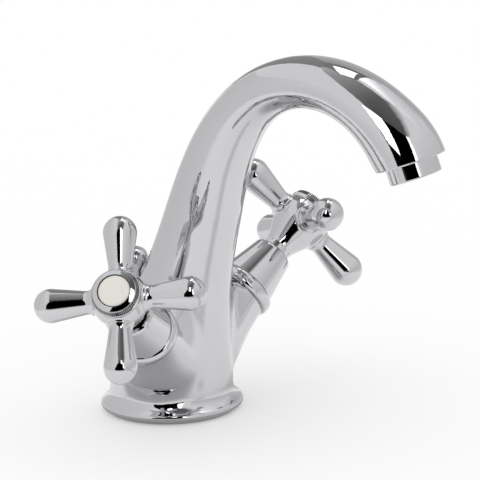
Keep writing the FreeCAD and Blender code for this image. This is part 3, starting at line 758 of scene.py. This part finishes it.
cap_profile = [
    (skirt_inner, floor_low),
    (skirt_inner, -skirt_depth),
    (skirt_outer, -skirt_depth),
    (skirt_outer, seat_gap),
    (seat_radius, seat_gap),
    (flange_radius, seat_gap + flange_rise),
    (flange_radius, flange_high - flange_corner),
    (flange_radius - flange_corner, flange_high),
    (edge_radius + edge_flare, edge_low),
    (edge_radius, edge_high),
    (bezel_radius + bezel_corner, edge_high + bezel_corner),
    (bezel_radius, edge_high + bezel_wall),
    (bezel_radius, bezel_shoulder),
    (bezel_radius - bezel_corner, bezel_turn),
]
for step in range(bezel_steps + 1):
    fall = (bezel_rim - bezel_lip) * (1 - step / bezel_steps)
    cap_profile.append((bezel_lip + fall, bezel_top - fall * bezel_slope - fall ** 2 * bezel_crown))
cap_profile += [(bezel_inner, bezel_top - bezel_corner), (bezel_inner, floor_high)]
print("cap profile of", len(cap_profile), "points")

# %% [markdown]
# Milling is a row of fine upright grooves. Cutting each with a Boolean would be slow and leave ragged
# faces. The ring has four points for each groove, so every other pair of points on the chamfer is
# selected by its angle and drawn in by one scale.

# %% Milled cap
cap_grooves = 72
points_per_groove = 4
groove_points = 2
mill_depth = 0.28 * mm
mill_slack = 0.02
mill_inset = 0.05
cap_crease = math.radians(32)

hub_top = axis_span("left_cap_ring", handle_axes["left"])[0] + skirt_depth * mm


def above_hub(profile):
    """A profile in metres along a handle's axis, from one in millimetres above the hub."""
    return [(radius * mm, hub_top + height * mm) for radius, height in profile]


cap_sides = cap_grooves * points_per_groove
milled_cap = turned_shell("left_milled_cap", above_hub(cap_profile), cap_sides)
for vertex in milled_cap.data.vertices:
    turn = math.atan2(vertex.co.y, vertex.co.x) / (2 * math.pi) * cap_sides
    on_edge = edge_low - mill_slack < (vertex.co.z - hub_top) / mm < edge_high + mill_slack
    on_edge = on_edge and vertex.co.xy.length > (edge_radius - mill_inset) * mm
    vertex.select = on_edge and round(turn) % points_per_groove < groove_points
milled = sum(vertex.select for vertex in milled_cap.data.vertices)
bpy.ops.object.mode_set(mode="EDIT")
share = 1 - mill_depth / (edge_radius * mm)
bpy.ops.transform.resize(value=(share, share, 1), center_override=(0, 0, 0))
bpy.ops.object.mode_set(mode="OBJECT")
bpy.ops.object.shade_smooth_by_angle(angle=cap_crease)
print("milled", cap_grooves, "grooves with", milled, "points drawn in")

# %% [markdown]
# The bottom of the milling is painted dark, partly as dirt and partly as painted shade, and the gap
# around the disc is painted dark as shade. Both make fine dark lines around the cap, which the eye reads
# as separate pieces. The grooves are found by a cosine of the angle about the axis, with the same count
# as in the mesh.

# %% Cap finish
# Dark at the bottom of the grooves: partly dirt, partly painted shade.
groove_shade_and_dirt = (0.07, 0.068, 0.066, 1)
# Painted shade for the gap around the disc.
gap_shade = (0.02, 0.018, 0.016, 1)
groove_span = (-0.9, -0.55)
groove_over = 0.03
seat_drop = 0.06
seat_over = 0.03
dull_rough = 0.5


def milled_chrome(name, place):
    """Cap chrome that is dull in the milling, with painted shade and dirt there, and painted shade in the seat of
    the disc.
    """
    material, tree, output = new_material(name)
    spot = axis_coordinates(tree, place)
    part, reach = about_axis(tree, spot)
    turn = times(tree, maths(tree, "ARCTAN2", part["Y"], part["X"]), cap_grooves)
    wave = maths(tree, "COSINE", maths(tree, "SUBTRACT", turn, math.pi / points_per_groove))
    low = above(tree, part["Z"], hub_top + edge_low * mm)
    high = below(tree, part["Z"], hub_top + (edge_high + groove_over) * mm)
    outside = above(tree, reach, edge_radius * mm - mill_depth - skin)
    band = times(tree, times(tree, low, high), outside)
    # The bottom of each groove is painted dark, partly dirt and partly painted shade.
    groove = times(tree, ramp(tree, wave, *groove_span), band)
    # The seat of the disc is painted dark, as the shade in the gap around it.
    sunk = below(tree, part["Z"], hub_top + (bezel_top - seat_drop) * mm)
    seat = times(tree, sunk, below(tree, reach, (bezel_inner + seat_over) * mm))
    marks, plate = buffed(tree, spot, plate_marks)
    inputs = {"Base Color": mixed(tree, seat, mixed(tree, groove, plate, groove_shade_and_dirt), gap_shade)}
    inputs["Metallic"] = maths(tree, "SUBTRACT", 1.0, seat)
    dull = maths(tree, "MAXIMUM", groove, seat)
    inputs["Roughness"] = blended(tree, dull, marks["Roughness"], dull_rough)
    inputs["Normal"] = bump(tree, marks["Height"], hairline_depth)
    principled(tree, output, inputs)
    return material


print("cap finish ready for", cap_grooves, "grooves")

# %% [markdown]
# The disc in the cap is glazed porcelain, left bare. It is a low dome with a rounded rim, smaller than its
# seat, so that a fine gap, painted dark as shade, shows around it. It is turned by the same helper as
# the cap, from a short profile whose dome is a parabola.

# %% Porcelain disc
disc_radius = 6.0
disc_seat = 3.12
disc_chamfer = 0.2
disc_rim = 4.06
rim_low = 0.3
rim_corner = (0.08, 0.1)
rim_inset = 0.26
disc_crown = 0.2
disc_steps = 10
disc_sides = 96
disc_crease = math.radians(60)

dome = disc_radius - rim_inset
disc_profile = [
    (disc_radius - disc_chamfer, disc_seat),
    (disc_radius, disc_seat + disc_chamfer),
    (disc_radius, disc_rim - rim_low),
    (disc_radius - rim_corner[0], disc_rim - rim_corner[1]),
    (dome, disc_rim),
]
for step in range(1, disc_steps):
    reach = dome * (1 - step / disc_steps)
    disc_profile.append((reach, disc_rim + disc_crown * (1 - (reach / dome) ** 2)))
porcelain_disc = turned_shell("left_porcelain_disc", above_hub(disc_profile), disc_sides)
bpy.ops.object.shade_smooth_by_angle(angle=disc_crease)
print("disc of", len(porcelain_disc.data.polygons), "faces")

# %% [markdown]
# The glaze is warm white, a little deeper where it pools at the rim, with pinholes and the faint ripple
# of a fired surface. A clear coat over an uneven white gives the depth of real glaze, and the distance
# from the disc's own axis says where the rim is. The side below the rim is painted dark, as painted shade
# in the gap around the disc.

# %% Glaze
glaze_white = (0.80, 0.775, 0.725, 1)
glaze_pool = (0.70, 0.655, 0.575, 1)
pinhole_dark = (0.45, 0.40, 0.33, 1)
pool_reach = (5.2 * mm, 6.2 * mm)
cloud_scale = 420.0
cloud_span = (0.45, 0.8)
cloud_depth = 0.25
pinhole_scale = 900.0
pinhole_span = (0.05, 0.12)
pinhole_depth = 0.35
gap_shade_span = (0.2 * mm, 0.08 * mm)
ripple_scale = 700.0
ripple_depth = 4e-6
glaze_rough = (0.06, 0.14)
glaze_coat = {"Coat Weight": 0.5, "Coat Roughness": 0.04}


def glazed_porcelain(name, place):
    """Warm white glaze that pools at the rim of a disc, with fine pinholes and a fired ripple."""
    material, tree, output = new_material(name)
    spot = axis_coordinates(tree, place)
    part, reach = about_axis(tree, spot)
    cloud = noise(tree, spot, cloud_scale, 4.0)
    pool = maths(tree, "ADD", ramp(tree, reach, *pool_reach),
                 ramp(tree, cloud, *cloud_span, 0.0, cloud_depth))
    colour = mixed(tree, pool, glaze_white, glaze_pool)
    pits = add_node(tree, "ShaderNodeTexVoronoi", {"Vector": spot, "Scale": pinhole_scale})
    pinholes = ramp(tree, pits.outputs["Distance"], *pinhole_span, 1.0, 0.0)
    colour = mixed(tree, times(tree, pinholes, pinhole_depth), colour, pinhole_dark)
    rim = hub_top + disc_rim * mm
    # The side below the rim is painted dark, as the shade in the gap around the disc.
    glazed = ramp(tree, part["Z"], rim - gap_shade_span[0], rim - gap_shade_span[1])
    inputs = {"Base Color": mixed(tree, glazed, gap_shade, colour), **glaze_coat}
    inputs["Roughness"] = ramp(tree, cloud, *grain_span, *glaze_rough)
    inputs["Normal"] = bump(tree, noise(tree, spot, ripple_scale, 2.0), ripple_depth)
    principled(tree, output, inputs)
    return material


print("glaze ready")

# %% [markdown]
# The cap and the disc were modelled once, upright about the Z axis. Each gets a copy with a mesh of its
# own for the right handle. They are then laid on the handles' axes, and the place goes into the mesh,
# so that the object sits at the origin as a CAD node does. Each rides on its handle's body and stands
# in for the plain solid.

# %% Seat the caps and discs
def seat_on_handle(piece, side, material, node):
    """Moves a finished cap piece onto a handle's axis, in place of a CAD node."""
    deselect_all()
    piece.select_set(True)
    bpy.context.view_layer.objects.active = piece
    piece.matrix_world = handle_axes[side]
    bpy.ops.object.transform_apply()
    piece.data.materials.clear()
    piece.data.materials.append(material)
    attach(piece, side + "_handle")
    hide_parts(node)


for master, node in ((milled_cap, "cap_ring"), (porcelain_disc, "index_disc")):
    twin = master.copy()
    twin.data = master.data.copy()
    twin.name = master.name.replace("left", "right")
    bpy.context.scene.collection.objects.link(twin)
    for side, piece in (("left", master), ("right", twin)):
        if node == "cap_ring":
            finish = milled_chrome(side + "_milled_chrome", handle_axes[side])
        else:
            finish = glazed_porcelain(side + "_glaze", handle_axes[side])
        seat_on_handle(piece, side, finish, side + "_" + node)
print("caps and discs seated on both handles")
